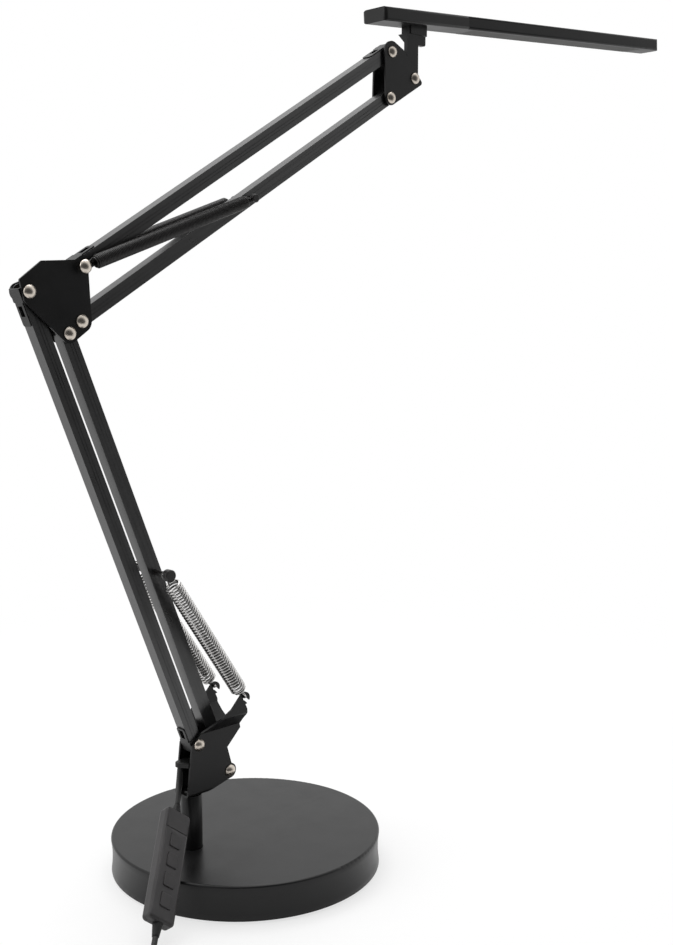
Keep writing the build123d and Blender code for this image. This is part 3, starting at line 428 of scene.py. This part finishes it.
for node_name, node_obj in NODES.items():
    dress_node(node_name, node_obj)


# ---------------------------------------------------------------- tubes and curves
TIP = 0.2  # how far the closed end of a tube stands out, in widths


def smooth_curve(name, points, width):
    """A NURBS curve with these points as its control points."""
    data = bpy.data.curves.new(name, "CURVE")
    data.dimensions = "3D"
    data.resolution_u = 8
    data.bevel_depth = width / 2
    data.bevel_resolution = 5
    data.use_fill_caps = True
    spline = data.splines.new("NURBS")
    spline.points.add(len(points) - 1)
    for control, place in zip(spline.points, points):
        control.co = (*place, 1.0)
    spline.order_u = 3
    spline.use_endpoint_u = True
    return shown(name, data)


def line_of(curve_object):
    """Points along a curve that has no bevel."""
    bpy.context.view_layer.update()
    mesh = bpy.data.meshes.new_from_object(curve_object)
    points = [Vector(vertex.co) for vertex in mesh.vertices]
    bpy.data.meshes.remove(mesh)
    return points


def tube(name, points, width, sides, cuts=()):
    """Round mesh tubes along points, cut where asked, the rings turned as little as possible."""
    ways = []
    for index in range(len(points)):
        before = points[max(0, index - 1)]
        after = points[min(len(points) - 1, index + 1)]
        ways.append((after - before).normalized())
    across = ways[0].orthogonal().normalized()
    rings = []
    for index, (place, way) in enumerate(zip(points, ways)):
        if index:
            across = ways[index - 1].rotation_difference(way) @ across
            across = (across - way * across.dot(way)).normalized()
        up = way.cross(across)
        ring = []
        for side in range(sides):
            angle = math.tau * side / sides
            ring.append(place + (across * math.cos(angle) + up * math.sin(angle)) * width / 2)
        rings.append(ring)
    limits = [0, *cuts, len(points) - 1]
    pieces = []
    for number, (low_end, high_end) in enumerate(zip(limits, limits[1:])):
        vertices = [vertex for ring in rings[low_end : high_end + 1] for vertex in ring]
        faces = []
        for base in range(0, (high_end - low_end) * sides, sides):
            for side in range(sides):
                here = base + side
                after = base + (side + 1) % sides
                faces.append((here, after, after + sides, here + sides))
        last_ring = (high_end - low_end) * sides
        first_tip = len(vertices)
        low_tip = 0.0 if low_end else TIP
        high_tip = TIP if high_end == limits[-1] else 0.0
        vertices.append(points[low_end] - ways[low_end] * width * low_tip)
        vertices.append(points[high_end] + ways[high_end] * width * high_tip)
        for side in range(sides):
            after = (side + 1) % sides
            faces.append((after, side, first_tip))
            faces.append((last_ring + side, last_ring + after, first_tip + 1))
        part_name = f"{name}_{number + 1}" if cuts else name
        mesh = bpy.data.meshes.new(part_name)
        mesh.from_pydata([tuple(vertex) for vertex in vertices], [], faces)
        mesh.polygons.foreach_set("use_smooth", [True] * len(mesh.polygons))
        mesh.update()
        pieces.append(shown(part_name, mesh))
    return pieces


# ---------------------------------------------------------------- cords
CORD = 4.0 * MM
CORD_SIDES = 20
COIL_MIDDLE = metres(-151.420, -131.454, 2.0)
COIL_START = math.radians(147.34)
COIL_PITCH = 4.6 * MM  # from turn to turn and from layer to layer
COIL_INNER = 17.4 * MM
COIL_OUTER = 26.6 * MM
COIL_STEPS = 12  # control points in a turn
CURVE_INSIDE = 0.9665  # the curve's own radius, as a share of its control points'


def link_cord():
    """The short cord from the foot's grommet down to the controller's upper end."""
    route = [
        metres(-58.58, 1.97, 92.2),
        metres(-58.58, 1.97, 74.35),
        metres(-69.05, -7.91, 64.75),
    ]
    guide = smooth_curve("link_guide", route, 0)
    points = line_of(guide)
    bpy.data.objects.remove(guide)
    link = tube("link_cord", points, CORD, CORD_SIDES)[0]
    link.data.materials.append(FINISHES["cord_black"])
    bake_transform(link)
    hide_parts("cord_link")


def coil_points():
    """The coil's turns: in and out by a pitch per turn, climbing a layer at each reversal."""
    legs = [
        (COIL_OUTER, COIL_INNER, 2.0),
        (COIL_INNER, COIL_OUTER, 2.0),
        (COIL_OUTER, COIL_INNER, 2.0),
        (COIL_INNER, COIL_OUTER, 1.75),
    ]
    points = []
    turned = 0.0
    for layer, (from_radius, to_radius, turns) in enumerate(legs):
        last = layer == len(legs) - 1
        towards = 1 if to_radius > from_radius else -1
        for step in range(round(turns * COIL_STEPS) + (1 if last else 0)):
            radius = from_radius + towards * COIL_PITCH * step / COIL_STEPS
            angle = COIL_START + (turned + step / COIL_STEPS) * math.tau
            points.append((angle, radius, layer * COIL_PITCH))
        turned += turns
        if not last:
            for step in range(COIL_STEPS // 2):
                rise = step / (COIL_STEPS // 2)
                rise = rise * rise * (3 - 2 * rise)
                angle = COIL_START + (turned + step / COIL_STEPS) * math.tau
                points.append((angle, to_radius, (layer + rise) * COIL_PITCH))
            turned += 0.5
    placed = []
    for angle, radius, height in points:
        reach = radius / CURVE_INSIDE
        way = Vector((math.cos(angle) * reach, math.sin(angle) * reach, height))
        placed.append(COIL_MIDDLE + way)
    return placed


def lead_cord():
    """The lead from the controller's lower end to its plug, most of it put away in a coil."""
    route = [
        metres(-128.945, -64.439, 9.805),
        metres(-137.453, -72.469, 2.0),
        metres(-157.088, -91.001, 2.0),
        metres(-171.657, -113.733, 2.0),
    ]
    ending = [
        metres(-151.94, -161.9, 15.8),
        metres(-123.86, -181.07, 4.05),
        metres(-120.56, -183.33, 4.05),
    ]
    lead = smooth_curve("lead_cord", route + coil_points() + ending, CORD)
    lead.data.materials.append(FINISHES["cord_black"])
    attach(lead, "base")
    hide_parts("cord_lead", "cord_coil")


link_cord()
lead_cord()


# ---------------------------------------------------------------- springs
SPRING_LEAD = 8.0 * MM  # from a spring's fixing to its first whole turn
TURN_STEPS = 18  # points in a turn
NECK = 0.72  # the radius of the outermost turns, as a share of the others'
NECK_LENGTH = 1.8 * MM
JOINING_STEPS = 8
LOOP_DEGREES = range(-75, 146, 11)  # from a loop's free end to where it leaves for the coil
WIRE_SIDES = 8


def eased(first, first_way, last, last_way, count):
    """Points between two places, leaving and arriving along the given directions."""
    span = (last - first).length
    points = []
    for step in range(1, count):
        s = step / count
        points.append(
            first * (2 * s**3 - 3 * s**2 + 1)
            + first_way * span * (s**3 - 2 * s**2 + s)
            + last * (3 * s**2 - 2 * s**3)
            + last_way * span * (s**3 - s**2)
        )
    return points


def straight_shares(pivot, begin, end, turn, places):
    """How much of a turn each place along a spring must make for the spring to stay straight.

    The turn is about a pivot across the arms; the spring begins on the body that stays.
    """
    first = Vector((begin.x - pivot.x, begin.z - pivot.z))
    last = Vector((end.x - pivot.x, end.z - pivot.z))
    turned = Vector((
        last.x * math.cos(turn) - last.y * math.sin(turn),
        last.x * math.sin(turn) + last.y * math.cos(turn),
    ))
    span = turned - first
    shares = []
    for place in places:
        here = first.lerp(last, place)
        reach = first.dot(span)
        room = max(0.0, reach**2 - span.dot(span) * (first.dot(first) - here.dot(here)))
        there = first + span * ((-reach + math.sqrt(room)) / span.dot(span))
        angle = math.atan2(there.y, there.x) - math.atan2(here.y, here.x)
        shares.append(((angle + math.pi) % math.tau - math.pi) / turn)
    return [0.0, *shares[1:-1], 1.0]


def blend_in_line(pieces, places, shares):
    """Bake each of a spring's pieces in place; the steps worked out from the shares are not used.
    """
    steps = [0.5 - math.sin(math.asin(1 - 2 * share) / 3) for share in shares]
    for piece, low_place, high_place, low_step, high_step in zip(
        pieces, places, places[1:], steps, steps[1:]
    ):
        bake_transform(piece)


def spring(
    side_name, side_sign, stem, start, end, offset, width, wire, turns, start_loop, end_loop,
    finish, joint,
):
    """A close-wound tension spring with a loop at each end, in line between two bodies.

    Each end's loop has the plane it turns in ("flat" round a pin across the arms, "upright"
    through a hole in a plate), its radius, and how far its middle lies in from the fixing.
    """
    node = f"{stem}_{side_name}"
    side = Vector((0, side_sign, 0))
    begin = metres(start[0], side_sign * offset, start[1])
    far_end = metres(end[0], side_sign * offset, end[1])
    run = far_end - begin
    along = run.normalized()
    up = side.cross(along)
    radius = (width - wire) / 2 * MM
    coil_length = run.length - 2 * SPRING_LEAD
    steps = turns * TURN_STEPS

    def loop(shape, fixing, inward):
        turning, loop_radius, shift = shape
        middle = fixing + inward * shift * MM
        sideways = up if turning == "flat" else side
        points = []
        for degree in LOOP_DEGREES:
            angle = math.radians(degree)
            out = sideways * math.sin(angle) - inward * math.cos(angle)
            points.append(middle + out * loop_radius * MM)
        return points

    def joining(before, after):
        way_out = (before[-1] - before[-2]).normalized()
        way_in = (after[1] - after[0]).normalized()
        return eased(before[-1], way_out, after[0], way_in, JOINING_STEPS)

    first = loop(start_loop, begin, along)
    last = loop(end_loop, far_end, -along)
    last.reverse()
    body = []
    for step in range(steps + 1):
        angle = math.tau * step / TURN_STEPS
        out = up * math.cos(angle) + side * math.sin(angle)
        travelled = step / steps
        close = min(travelled, 1 - travelled) * coil_length
        reach = radius * (NECK + (1 - NECK) * min(1.0, close / NECK_LENGTH))
        body.append(begin + along * (SPRING_LEAD + coil_length * travelled) + out * reach)
    opening = first + joining(first, body)
    points = opening + body + joining(body, last) + last

    bodies, pivot, turn, places = joint
    cuts = []
    for place in places[1:-1]:
        travelled = (place * run.length - SPRING_LEAD) / coil_length
        cuts.append(len(opening) + round(travelled * turns * TURN_STEPS))
    pieces = tube(f"{stem}_wound_{side_name}", points, wire * MM, WIRE_SIDES, cuts)
    middle = metres(pivot[0], 0, pivot[1])
    shares = straight_shares(middle, begin, far_end, math.radians(turn), places)
    for piece in pieces:
        piece.data.materials.append(FINISHES[finish])
        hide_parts(node)
    blend_in_line(pieces, places, shares)


# the bodies at a spring's ends, the joint's pivot, the turn for which the spring is straight at
# the places where it is cut, and those places
LOWER_JOINT = (("foot", "front_bar"), (-20.70, 78.29), -45, (0.0, 0.11, 0.3, 1.0))
UPPER_JOINT = (("elbow", "lower_bar"), (-136.13, 405.39), -12, (0.0, 0.1, 0.3, 1.0))
SPRINGS = [
    dict(
        stem="lower_spring", start=(-14.7, 134.0), end=(-81.62, 234.53), offset=17.5, width=12.0,
        wire=1.6, turns=44, start_loop=("upright", 3.0, 3.8), end_loop=("flat", 2.95, 0),
        finish="spring_steel", joint=LOWER_JOINT,
    ),
    dict(
        stem="upper_spring", start=(-134.99, 439.77), end=(4.45, 489.86), offset=10.6, width=9.4,
        wire=1.05, turns=116, start_loop=("flat", 3.3, 0), end_loop=("flat", 2.8, 0),
        finish="black_steel", joint=UPPER_JOINT,
    ),
]
for side_name, side_sign in (("near", -1), ("far", 1)):
    for sizes in SPRINGS:
        spring(side_name, side_sign, **sizes)
